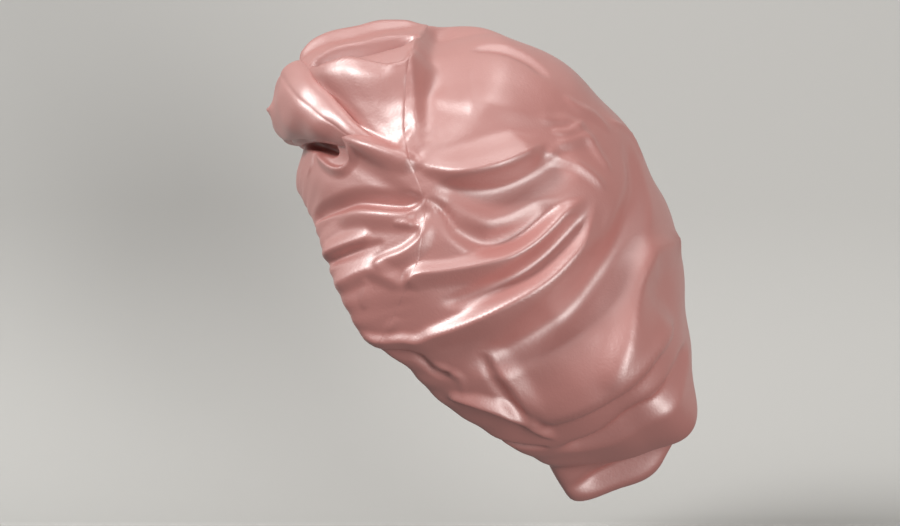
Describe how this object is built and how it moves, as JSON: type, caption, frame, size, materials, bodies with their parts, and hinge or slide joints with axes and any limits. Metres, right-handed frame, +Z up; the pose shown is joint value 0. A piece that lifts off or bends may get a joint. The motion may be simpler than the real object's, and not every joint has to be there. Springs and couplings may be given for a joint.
{
  "type": "sleep bonnet with knotted front",
  "caption": "Slack satin sleep bonnet: a full gathered bag behind a seamed front band that bunches into a twisted knot at the brow, open below for a head.",
  "frame": {"origin": "inside of the crown, where the top of a head carries the bonnet", "axes": "+X to the wearer's left, -Y the way the face looks, +Z up"},
  "size_m": [0.2194, 0.2382, 0.2707],
  "materials": {
    "satin": "dusty pink satin with a soft broad sheen"
  },
  "bodies": {
    "root": {"crown_bag": "satin", "front_band": "satin", "centre_knot": "satin"}
  },
  "joints": []
}
